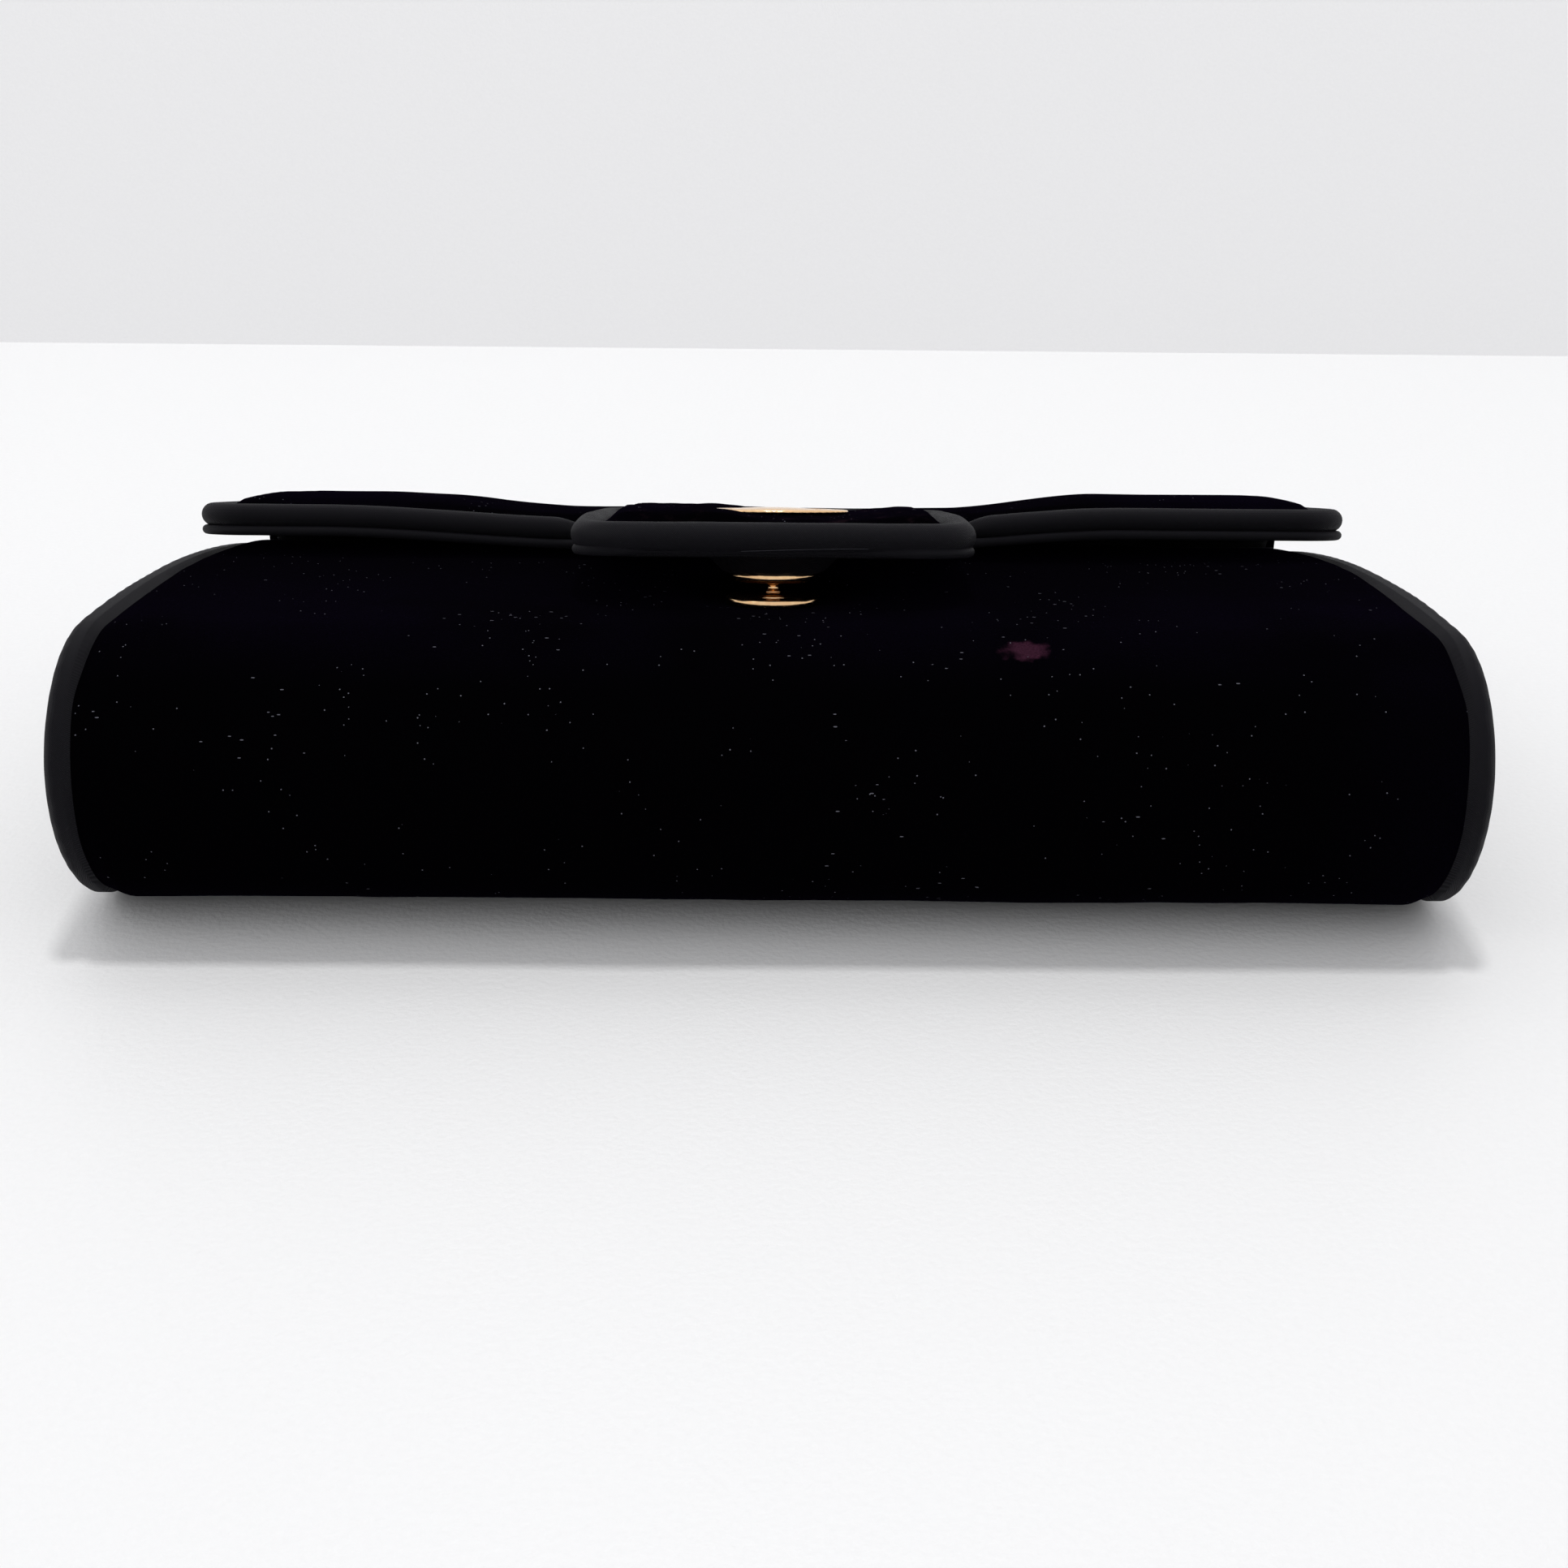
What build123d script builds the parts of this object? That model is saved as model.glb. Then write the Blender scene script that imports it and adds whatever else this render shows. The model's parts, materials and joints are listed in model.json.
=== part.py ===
from build123d import *
from math import asin, cos, radians, sin, sqrt, tan
import os

# Evening clutch lying on its back. Millimetres. X runs along its width, Z is up through the front
# panel, and the rounded base faces -Y. While it is built, y is measured from the base.

# ---- bag, overall ----
HALF_WIDTH = 122.2        # middle of the bag to the seam between velvet and gusset
HEIGHT = 150.0            # rounded base to mouth
BASE_R = 26.5             # half-round base
FRONT_R = 480.0           # long curve of the front panel
BLEND_ANGLE = 5.0         # slope where the base round meets the front curve, degrees
BULGE = 4.4               # how far a gusset stands out from its seam
# ---- layers of the wall ----
VELVET = 1.2
WADDING = 4.0
BOARD = 1.4
LINING = 0.6
SATIN = 0.8
MOUTH_BIND = 2.0          # width of the satin binding on the front panel's mouth
# ---- slip pocket on the back lining ----
POCKET_HALF = 60.0
POCKET_DEPTH = 75.0
POCKET_MOUTH = 115.0      # where its open edge lies, from the base
POCKET_HEM = 8.0
# ---- top strip, which closes the mouth ----
STRIP_WADDING = 0.8
FOLD_GAP = 0.4            # boards and pads of two panels stop this far apart at a fold
# ---- flap ----
FLAP_SLOPE = 16.5         # degrees, at rest
FLAP_CLEAR = 1.2          # flap to front panel where they come nearest
FLAP_HALF = 122.0
FLAP_BACK = 83.4          # level distance from the base to the flap's edge
FLAP_CORNER = 12.0
FLAP_WADDING = 3.8
FLAP_BOARD = 1.2
FLAP_LINING = 0.8
ROLL_D = 4.8              # satin roll on the flap's edge
ROLL_REST = 0.05          # roll clear of the bead it lies on
ROLL_ROOT = 3.0           # where the rolls start, from the fold
CORD_WALL = 0.6           # satin round each piping cord
BEAD_D = 2.0              # thin bead on the lining's edge
BEAD_CORNER = 3.0         # inner corner where the bead turns on to the tab
# ---- tab ----
TAB_HALF = 38.3
TAB_OVERLAP = 26.0        # tab set into the flap by this much
TAB_REACH = 49.0          # tab beyond the flap's edge
TAB_CORNER = 12.0
TAB_ROLL_D = 5.4
TAB_ROLL_SINK = 2.25
TAB_RISE = 1.6            # tab's velvet above the flap's
TAB_FIT = 0.3             # flap roll's end to tab roll
# ---- magnetic snap ----
SNAP_INSET = 15.0         # snap's centre from the tab's end
PATCH_R = 12.0            # felt patch that stiffens the lining behind the snap
PATCH_TOP_R = 8.6
PATCH_RISE = 3.5
PLATE_R = 8.2
PLATE_T = 1.3
STEP_R = 7.3
STEP_T = 0.4
STUD_R = 2.0
STUD_L = 2.3
STUD_TIP_GAP = 0.3        # stud's tip to the cup at rest
CUP_R = 9.0
CUP_H = 2.4
CUP_PINCH = 0.1           # fabric pinched between cup and washer
CUP_WALL = 0.8
CUP_SKIN = 0.45
CUP_HOLE_R = 2.6
CUP_TILT = 13.5           # degrees, the cup's face leans towards the tab
MAGNET_FIT = 0.05
LEG_X = 3.0               # prong from the snap's axis
LEG_W = 3.0
LEG_T = 0.4
FOOT_L = 2.2
FOOT_T = 0.3
WASHER_R = 6.0
WASHER_T = 0.4
WELL_R = 6.5              # hollow in the wadding round a washer
WELL_ROOM = 0.1           # wadding clear of the prongs' feet
SLOT_ROOM = 0.1           # slot clear of a prong all round
CUP_ROOM = 0.1            # velvet clear of the cup's side
# ---- ornament ----
ORNAMENT_BACK = 35.5      # ornament's centre from the tab's end
ORNAMENT_A = 15.0
ORNAMENT_B = 10.5
ORNAMENT_T = 0.8
DOME_INSET = 2.4
DOME_RISE = 0.6

WALL = VELVET + WADDING + BOARD + LINING
STRIP_T = LINING + BOARD + STRIP_WADDING + VELVET
DEPTH = HEIGHT + FOLD_GAP + STRIP_T
FLAP_T = VELVET + FLAP_WADDING + FLAP_BOARD + FLAP_LINING
BOARD_TOP = FLAP_LINING + FLAP_BOARD - FLAP_T
BIG = 400.0
TINY = 0.01

SLOPE = radians(FLAP_SLOPE)
FLAP_LENGTH = (HEIGHT - FLAP_BACK) / cos(SLOPE)
TAB_END = FLAP_LENGTH + TAB_REACH
TAB_START = FLAP_LENGTH - TAB_OVERLAP
# The roll lies on the bead, a little further in, so its centre is this far below the flap's velvet.
ROLL_ASIDE = (ROLL_D - BEAD_D) / 2
ROLL_SINK = FLAP_T - BEAD_D / 2 - sqrt(((ROLL_D + BEAD_D) / 2 + ROLL_REST) ** 2 - ROLL_ASIDE ** 2)
BLEND = radians(BLEND_ANGLE)
FRONT_CY = BASE_R - (FRONT_R - BASE_R) * sin(BLEND)
FRONT_CZ = BASE_R - (FRONT_R - BASE_R) * cos(BLEND)

# The flap's plane is parallel to the front curve's tangent, FLAP_CLEAR above it. Its frame sits on
# the outer corner of the fold, with local -Y running down the flap and local Z out of its velvet.
NEAREST_Y = FRONT_CY + FRONT_R * sin(SLOPE)
NEAREST_Z = FRONT_CZ + FRONT_R * cos(SLOPE)
HINGE_Z = NEAREST_Z + (NEAREST_Y - DEPTH) * tan(SLOPE) + (FLAP_CLEAR + FLAP_T) / cos(SLOPE)
FLAP = Plane(origin=(0, DEPTH, HINGE_Z), x_dir=(1, 0, 0), z_dir=(0, sin(SLOPE), cos(SLOPE)))


def section(inset, mouth):
    """Bag's side view as a face, all round inside the outline by inset and cut off at the mouth."""
    base = BASE_R - inset
    front = FRONT_R - inset
    last = asin((mouth - FRONT_CY) / front)
    middle = (BLEND + last) / 2
    start = (BASE_R, inset)
    tangent = (BASE_R + base * sin(BLEND), BASE_R + base * cos(BLEND))
    halfway = (FRONT_CY + front * sin(middle), FRONT_CZ + front * cos(middle))
    top = (mouth, FRONT_CZ + front * cos(last))
    outline = Line((mouth, inset), start)
    outline += ThreePointArc(start, (BASE_R - base, BASE_R), tangent)
    outline += ThreePointArc(tangent, halfway, top)
    outline += Line(top, (mouth, inset))
    return Plane.YZ * make_face(outline)


def between(face, x0, x1):
    """Side-view face carried from x0 to x1."""
    return Pos(x0, 0, 0) * extrude(face, x1 - x0)


def layer(outer, inner):
    """One layer of the wrap, from back panel round the base to the front panel's mouth."""
    solid = between(section(outer, HEIGHT), -HALF_WIDTH, HALF_WIDTH)
    return solid - between(section(inner, HEIGHT + 1), -BIG, BIG)


def block(x0, x1, y0, y1, z0, z1):
    """Box between two corners."""
    return Pos((x0 + x1) / 2, (y0 + y1) / 2, (z0 + z1) / 2) * Box(x1 - x0, y1 - y0, z1 - z0)


MOUTH_CUT = block(-BIG, BIG, HEIGHT - MOUTH_BIND, HEIGHT + 1, WALL + TINY, BIG)


def cup_frame():
    """Plane on the snap cup's face, just under the tip of the stud."""
    lean = radians(CUP_TILT)
    tip = FLAP * Pos(0, SNAP_INSET - TAB_END, -FLAP_T - PATCH_RISE - PLATE_T - STEP_T - STUD_L)
    axis = Vector(0, sin(lean), cos(lean))
    return Plane(origin=tip.position - axis * STUD_TIP_GAP, x_dir=(1, 0, 0), z_dir=axis)


def disc(radius, z0, z1):
    """Upright cylinder between two heights."""
    return Pos(0, 0, (z0 + z1) / 2) * Cylinder(radius, z1 - z0)


def prongs(z0, z1):
    """Two bent prongs: legs from z0 to z1 that turn outwards under or over a washer."""
    way = 1 if z1 > z0 else -1
    far = z1 + way * FOOT_T
    parts = []
    for side in (-1, 1):
        leg = block(LEG_X - LEG_T, LEG_X, -LEG_W / 2, LEG_W / 2, min(z0, far), max(z0, far))
        foot = block(LEG_X - LEG_T, LEG_X + FOOT_L, -LEG_W / 2, LEG_W / 2, min(z1, far), max(z1, far))
        parts.append(leg + foot if side > 0 else mirror(leg + foot, Plane.YZ))
    return parts


def slotted(solid, z0, z1):
    """Solid with the slots that two prongs pass through."""
    for side in (-1, 1):
        x = side * (LEG_X - LEG_T / 2)
        room = LEG_T / 2 + SLOT_ROOM
        wide = LEG_W / 2 + SLOT_ROOM
        solid -= block(x - room, x + room, -wide, wide, z0, z1)
    return solid


def wrap_parts():
    """Velvet, wadding, boards and lining of back, base and front, with the mouth's binding."""
    frame = cup_frame()
    well_top = -CUP_H - MAGNET_FIT
    well_floor = well_top - CUP_PINCH - WASHER_T - FOOT_T - WELL_ROOM
    pocket = frame * (disc(CUP_R + CUP_ROOM, well_top, BASE_R) + disc(WELL_R, well_floor, well_top))
    under_velvet = VELVET + WADDING
    boards = layer(under_velvet, under_velvet + BOARD) - MOUTH_CUT
    behind = block(-BIG, BIG, BASE_R, BIG, -1, BASE_R)
    above = block(-BIG, BIG, BASE_R, BIG, BASE_R, BIG)
    low = block(-BIG, BIG, BASE_R, BIG, -1, WALL)
    return {
        "velvet_wrap": layer(0, VELVET) - MOUTH_CUT - pocket,
        "wadding_wrap": layer(VELVET, under_velvet) - MOUTH_CUT - pocket,
        "back_board": boards & low,
        "base_board": boards - behind - above,
        "front_board": (boards & above) + ((boards & behind) - low),
        "lining_wrap": layer(WALL - LINING, WALL) - MOUTH_CUT,
        "front_binding": layer(0, WALL) & MOUTH_CUT,
    }


def slip_pocket():
    """Flat patch pocket with a folded hem along its open edge."""
    low = POCKET_MOUTH - POCKET_DEPTH
    patch = block(-POCKET_HALF, POCKET_HALF, low, POCKET_MOUTH, WALL, WALL + LINING)
    hem_low = POCKET_MOUTH - POCKET_HEM
    hem = block(-POCKET_HALF, POCKET_HALF, hem_low, POCKET_MOUTH, WALL, WALL + 2 * LINING)
    return patch + hem


def rounded_end(inset):
    """Bulging end of the bag, all round inside its outer skin by inset."""
    solid = between(section(inset, HEIGHT - inset), HALF_WIDTH, HALF_WIDTH + BULGE - inset)
    rim = solid.faces().sort_by(Axis.X)[-1].edges()
    return fillet(rim, BULGE - SATIN / 4 - inset)


def gusset_parts(side):
    """Satin cover, pad, board and lining of one gusset."""
    pad = rounded_end(SATIN)
    inside = section(WALL, HEIGHT)
    parts = {
        "gusset_satin": rounded_end(0) - pad,
        "gusset_pad": pad,
        "gusset_board": between(inside, HALF_WIDTH - BOARD, HALF_WIDTH),
        "gusset_lining": between(inside, HALF_WIDTH - BOARD - LINING, HALF_WIDTH - BOARD),
    }
    if side == "left":
        parts = {name: mirror(solid, Plane.YZ) for name, solid in parts.items()}
    return {f"{name}_{side}": solid for name, solid in parts.items()}


def strip_parts():
    """Layers of the strip that closes the mouth, from its lining outwards."""
    over = FLAP * block(-BIG, BIG, -BIG, BIG, -FLAP_T - FOLD_GAP, BIG)
    y = HEIGHT + FOLD_GAP
    parts = {}
    for name, thick in (("lining", LINING), ("board", BOARD), ("wadding", STRIP_WADDING), ("velvet", VELVET)):
        parts["strip_" + name] = block(-HALF_WIDTH, HALF_WIDTH, y, y + thick, FOLD_GAP, BASE_R * 2) - over
        y += thick
    return parts


def flap_outline(inset):
    """Flap's plan inside its outer edge by inset, open at the fold."""
    half = FLAP_HALF - inset
    edge = FLAP_LENGTH - inset
    face = Pos(0, -edge / 2) * Rectangle(2 * half, edge)
    corners = face.vertices().group_by(Axis.Y)[0]
    return fillet(corners, FLAP_CORNER - inset)


def tab_outline(inset):
    """Tab's plan, a rounded rectangle inside its outer edge by inset."""
    long = TAB_END - TAB_START - 2 * inset
    middle = (TAB_END + TAB_START) / 2
    return Pos(0, -middle) * RectangleRounded(2 * (TAB_HALF - inset), long, TAB_CORNER - inset)


def sheet(face, z0, z1):
    """Plan face as a sheet between two heights."""
    return Pos(0, 0, z0) * extrude(face, z1 - z0)


def tube(path, radius, start, along):
    """Round bar along a path."""
    return sweep(Plane(origin=start, z_dir=along) * Circle(radius), path)


def flap_roll(side):
    """Roll on one half of the flap's edge: satin tube and the cord inside it."""
    half = FLAP_HALF - ROLL_D / 2
    edge = FLAP_LENGTH - ROLL_D / 2
    start = (half, -ROLL_ROOT, -ROLL_SINK)
    points = [start, (half, -edge, -ROLL_SINK), (TAB_HALF + TAB_FIT, -edge, -ROLL_SINK)]
    path = FilletPolyline(*points, radius=FLAP_CORNER - ROLL_D / 2)
    cord = tube(path, ROLL_D / 2 - CORD_WALL, start, (0, -1, 0))
    satin = tube(path, ROLL_D / 2, start, (0, -1, 0)) - cord
    if side == "left":
        satin = mirror(satin, Plane.YZ)
        cord = mirror(cord, Plane.YZ)
    return {f"flap_roll_{side}": satin, f"flap_cord_{side}": cord}


def lining_bead():
    """Thin bead round the flap's lining and on round the tab, in one length."""
    inset = BEAD_D / 2
    side = FLAP_HALF - inset
    edge = -(FLAP_LENGTH - inset)
    end = -(TAB_END - inset)
    tab = TAB_HALF - inset
    z = BEAD_D / 2 - FLAP_T
    right = [(side, -ROLL_ROOT, z), (side, edge, z), (tab, edge, z), (tab, end, z)]
    left = [(-x, y, h) for x, y, h in reversed(right)]
    turns = [FLAP_CORNER - inset, BEAD_CORNER, TAB_CORNER - inset]
    path = FilletPolyline(*right, *left, radius=turns + turns[::-1])
    return tube(path, BEAD_D / 2, right[0], (0, -1, 0))


def flap_parts():
    """Velvet, wadding, board, lining and bead of the flap, in the flap's own frame."""
    seat = sheet(tab_outline(0), BOARD_TOP, 1)
    inner = flap_outline(ROLL_D)
    half = TAB_HALF - BEAD_D
    tongue = block(-half, half, BEAD_D - TAB_END, -FLAP_LENGTH / 2, -FLAP_T, FLAP_LINING - FLAP_T)
    tongue = fillet(tongue.edges().filter_by(Axis.Z).group_by(Axis.Y)[0], TAB_CORNER - BEAD_D)
    lining = sheet(flap_outline(BEAD_D), -FLAP_T, FLAP_LINING - FLAP_T) + tongue
    snap = Pos(0, SNAP_INSET - TAB_END, 0)
    bump = Cone(PATCH_TOP_R + FLAP_LINING, PATCH_R + FLAP_LINING, PATCH_RISE)
    bump = snap * Pos(0, 0, -FLAP_T - PATCH_RISE / 2) * bump
    lining = lining + bump - snap_patch_blank()
    lining = snap * slotted(snap.inverse() * lining, -FLAP_T - PATCH_RISE - 1, BOARD_TOP)
    return {
        "flap_velvet": sheet(inner, -VELVET, 0) - seat,
        "flap_wadding": sheet(inner, BOARD_TOP, -VELVET) - seat,
        "flap_board": sheet(inner, FLAP_LINING - FLAP_T, BOARD_TOP),
        "flap_lining": lining,
        "flap_bead": lining_bead(),
    }


def snap_patch_blank():
    """Felt patch behind the snap, before its slots."""
    top = FLAP_LINING - FLAP_T
    return Pos(0, SNAP_INSET - TAB_END, top - PATCH_RISE / 2) * Cone(PATCH_TOP_R, PATCH_R, PATCH_RISE)


def tab_parts():
    """Velvet, wadding, board, roll and cord of the tab, in the flap's own frame."""
    inner = tab_outline(TAB_ROLL_D)
    snap = Pos(0, SNAP_INSET - TAB_END, 0)
    ornament = Pos(0, ORNAMENT_BACK - TAB_END, 0)
    back = -(FLAP_LENGTH - ROLL_D)
    board = sheet(tab_outline(BEAD_D), FLAP_LINING - FLAP_T, BOARD_TOP)
    board = board & block(-BIG, BIG, -BIG, back, -BIG, BIG)
    board = snap * slotted(snap.inverse() * board, -BIG, BIG)
    wadding = sheet(inner, BOARD_TOP, TAB_RISE - VELVET)
    wadding -= snap * disc(WELL_R, BOARD_TOP, BOARD_TOP + WASHER_T + FOOT_T + WELL_ROOM)
    wadding -= ornament * disc(WELL_R, TAB_RISE - VELVET - WASHER_T - FOOT_T - WELL_ROOM, TAB_RISE)
    velvet = sheet(inner, TAB_RISE - VELVET, TAB_RISE)
    velvet = ornament * slotted(ornament.inverse() * velvet, 0, BIG)
    x = TAB_HALF - TAB_ROLL_D / 2
    start = (x, -(TAB_END + TAB_START) / 2, -TAB_ROLL_SINK)
    loop = Pos(0, 0, -TAB_ROLL_SINK) * tab_outline(TAB_ROLL_D / 2).face().outer_wire()
    cord = tube(loop, TAB_ROLL_D / 2 - CORD_WALL, start, (0, 1, 0))
    roll = tube(loop, TAB_ROLL_D / 2, start, (0, 1, 0)) - cord
    return {
        "tab_velvet": velvet,
        "tab_wadding": wadding,
        "tab_board": board,
        "tab_roll": roll,
        "tab_cord": cord,
    }


def stud_side():
    """Plate, stud, prongs and washer of the snap on the tab's lining, and the felt patch."""
    face = -FLAP_T - PATCH_RISE
    place = Pos(0, SNAP_INSET - TAB_END, 0)
    plate = disc(PLATE_R, face - PLATE_T, face)
    plate = fillet(plate.edges(), PLATE_T / 4)
    step = face - PLATE_T - STEP_T
    plate += disc(STEP_R, step, face - PLATE_T + TINY)
    stud = chamfer(disc(STUD_R, step - STUD_L, step).edges().group_by(Axis.Z)[0], STUD_R / 4)
    patch = slotted(place.inverse() * snap_patch_blank(), -BIG, BIG)
    washer = slotted(disc(WASHER_R, BOARD_TOP, BOARD_TOP + WASHER_T), -BIG, BIG)
    parts = {
        "snap_plate": plate,
        "snap_stud": stud,
        "snap_plate_prongs": prongs(face, BOARD_TOP + WASHER_T),
        "snap_plate_washer": washer,
        "snap_patch": patch,
    }
    return {name: placed(place, solid) for name, solid in parts.items()}


def cup_side():
    """Cup, ring magnet, prongs and washer of the snap on the front panel, in the cup's frame."""
    cup = disc(CUP_R, -CUP_H, 0)
    cup = fillet(cup.edges(), CUP_SKIN / 2)
    cup -= disc(CUP_R - CUP_WALL, -CUP_H + CUP_SKIN, -CUP_SKIN)
    cup -= disc(CUP_HOLE_R, -CUP_H / 2, 1)
    magnet = disc(CUP_R - CUP_WALL - MAGNET_FIT, -CUP_H + CUP_SKIN + MAGNET_FIT, -CUP_SKIN - MAGNET_FIT)
    magnet -= disc(CUP_HOLE_R, -CUP_H, 1)
    under = -CUP_H - CUP_PINCH
    washer = slotted(disc(WASHER_R, under - WASHER_T, under), -BIG, BIG)
    return {
        "snap_cup": cup,
        "snap_magnet": magnet,
        "snap_cup_prongs": prongs(-CUP_H, under - WASHER_T),
        "snap_cup_washer": washer,
    }


def ornament_parts():
    """Plain oval medallion on the tab: stepped plate, dome, prongs and washer."""
    place = Pos(0, ORNAMENT_BACK - TAB_END, TAB_RISE)
    plate = extrude(Ellipse(ORNAMENT_A, ORNAMENT_B), ORNAMENT_T)
    plate = fillet(plate.edges().group_by(Axis.Z)[-1], ORNAMENT_T / 3)
    dome = extrude(Ellipse(ORNAMENT_A - DOME_INSET, ORNAMENT_B - DOME_INSET), DOME_RISE)
    dome = Pos(0, 0, ORNAMENT_T) * fillet(dome.edges().group_by(Axis.Z)[-1], DOME_RISE * 0.8)
    washer = slotted(disc(WASHER_R, -VELVET - WASHER_T, -VELVET), -BIG, BIG)
    parts = {
        "ornament_plate": plate,
        "ornament_dome": dome,
        "ornament_prongs": prongs(0, -VELVET - WASHER_T),
        "ornament_washer": washer,
    }
    return {name: placed(place, solid) for name, solid in parts.items()}


def placed(place, solid):
    """Solid, or each of several, moved to its place."""
    return [place * one for one in solid] if isinstance(solid, list) else place * solid


def save(parts, place):
    """Write each node, with the origin under the middle of the whole bag."""
    for name, solid in parts.items():
        moved = placed(Pos(0, -DEPTH / 2, 0) * place, solid)
        solids = moved if isinstance(moved, list) else [moved]
        whole = Compound(children=[s for one in solids for s in one.solids()])
        export_step(whole, f"parts/{name}.step")


os.makedirs("parts", exist_ok=True)
save(wrap_parts(), Location())
save({"slip_pocket": slip_pocket()}, Location())
for hand in ("left", "right"):
    save(gusset_parts(hand), Location())
    save(flap_roll(hand), FLAP.location)
save(strip_parts(), Location())
save(flap_parts(), FLAP.location)
save(tab_parts(), FLAP.location)
save(stud_side(), FLAP.location)
save(ornament_parts(), FLAP.location)
save(cup_side(), cup_frame().location)
print("hinge at strip and flap", DEPTH / 2, HINGE_Z)
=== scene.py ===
import json
import math

import bmesh
import bpy
import numpy as np
from mathutils import Matrix, Vector, noise


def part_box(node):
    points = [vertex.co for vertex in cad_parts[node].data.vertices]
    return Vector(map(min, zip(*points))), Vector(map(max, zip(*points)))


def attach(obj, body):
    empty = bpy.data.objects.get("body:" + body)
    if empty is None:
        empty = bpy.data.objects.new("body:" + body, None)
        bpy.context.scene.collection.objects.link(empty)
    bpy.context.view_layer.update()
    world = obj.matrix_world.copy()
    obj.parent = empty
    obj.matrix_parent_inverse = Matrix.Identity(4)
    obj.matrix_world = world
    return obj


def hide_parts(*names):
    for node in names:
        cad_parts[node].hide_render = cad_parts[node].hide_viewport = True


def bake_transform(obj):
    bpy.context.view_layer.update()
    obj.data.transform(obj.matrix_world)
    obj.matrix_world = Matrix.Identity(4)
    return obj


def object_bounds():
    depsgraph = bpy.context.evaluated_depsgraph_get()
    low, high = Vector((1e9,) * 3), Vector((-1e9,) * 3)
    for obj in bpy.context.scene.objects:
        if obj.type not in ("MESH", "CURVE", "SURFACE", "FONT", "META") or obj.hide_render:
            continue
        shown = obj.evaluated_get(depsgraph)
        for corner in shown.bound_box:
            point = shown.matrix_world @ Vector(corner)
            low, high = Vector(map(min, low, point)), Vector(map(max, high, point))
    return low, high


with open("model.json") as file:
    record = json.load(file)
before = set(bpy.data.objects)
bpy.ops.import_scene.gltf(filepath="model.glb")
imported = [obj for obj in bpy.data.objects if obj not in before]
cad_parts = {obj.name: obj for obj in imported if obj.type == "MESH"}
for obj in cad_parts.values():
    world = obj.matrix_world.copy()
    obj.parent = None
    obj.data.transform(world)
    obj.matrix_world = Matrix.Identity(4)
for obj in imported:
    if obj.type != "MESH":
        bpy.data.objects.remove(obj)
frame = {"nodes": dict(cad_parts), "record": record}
CAD_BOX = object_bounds()


# ---- Table, wall, light and camera ----
# A pale laminate table stands in front of a wall. A small lamp hangs high over the bag and a little
# behind it, so the shadow under the rounded base falls just in front.

TABLE_FRONT = 1.2
TABLE_BACK = 0.391
WALL_BACK = 0.85
TABLE_COLOUR = (0.83, 0.83, 0.83, 1)
WALL_COLOUR = (0.97, 0.97, 0.97, 1)
LENS = 44.5
EYE = Vector((-0.0005, -0.3781, 0.1788))
EYE_DOWN = math.radians(25.73)
EYE_TURN = math.radians(0.49)
EYE_ROLL = math.radians(0.63)


class Wire:
    """One socket of a shader, which sums, differences and products can be written with."""

    def __init__(self, finish, socket):
        self.finish = finish
        self.socket = socket

    def sum_of(self, operation, first, second):
        return self.finish.add("ShaderNodeMath", {"operation": operation}, "Value", {0: first, 1: second})

    def __add__(self, other):
        return self.sum_of("ADD", self, other)

    def __radd__(self, other):
        return self.sum_of("ADD", other, self)

    def __sub__(self, other):
        return self.sum_of("SUBTRACT", self, other)

    def __rsub__(self, other):
        return self.sum_of("SUBTRACT", other, self)

    def __mul__(self, other):
        return self.sum_of("MULTIPLY", self, other)

    def __rmul__(self, other):
        return self.sum_of("MULTIPLY", other, self)

    def __lt__(self, other):
        return self.sum_of("LESS_THAN", self, other)

    def __gt__(self, other):
        return self.sum_of("GREATER_THAN", self, other)


class Finish:
    """A material being mixed: its shader, and the nodes that feed it."""

    def __init__(self, name, **constants):
        self.material = bpy.data.materials.new(name)
        self.material.use_nodes = True
        self.nodes = self.material.node_tree.nodes
        self.shader = next(n for n in self.nodes if n.type == "BSDF_PRINCIPLED")
        for socket, value in constants.items():
            self.shader.inputs[socket.replace("_", " ")].default_value = value

    def put(self, socket, value):
        if isinstance(value, Wire):
            self.material.node_tree.links.new(value.socket, socket)
        else:
            socket.default_value = value

    def add(self, kind, settings, output, sockets):
        """A node of a kind, its settings, the output wanted, and what goes into its sockets."""
        node = self.nodes.new(kind)
        for key, value in settings.items():
            setattr(node, key, value)
        for key, value in sockets.items():
            self.put(node.inputs[key], value)
        return Wire(self, node.outputs[output])

    def feed(self, socket, value):
        self.put(self.shader.inputs[socket], value)

    def place(self):
        return self.add("ShaderNodeTexCoord", {}, "Object", {})

    def cloth(self):
        return self.add("ShaderNodeUVMap", {"uv_map": "cloth"}, "UV", {})

    def vector(self, operation, first, second, output="Vector"):
        sockets = {0: first} if second is None else {0: first, 1: second}
        return self.add("ShaderNodeVectorMath", {"operation": operation}, output, sockets)

    def noise(self, where, scale, detail=2.0):
        return self.add("ShaderNodeTexNoise", {}, "Fac", {"Vector": where, "Scale": scale, "Detail": detail})

    def ramp(self, value, low, high):
        return self.add("ShaderNodeMapRange", {"interpolation_type": "SMOOTHSTEP"}, "Result",
                        {"Value": value, "From Min": low, "From Max": high})

    def blend(self, share, first, second):
        return self.add("ShaderNodeMix", {"data_type": "RGBA"}, 2, {0: share, 6: first, 7: second})

    def bump(self, height, depth, strength=1.0):
        return self.add("ShaderNodeBump", {}, "Normal",
                        {"Height": height, "Distance": depth, "Strength": strength})


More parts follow.
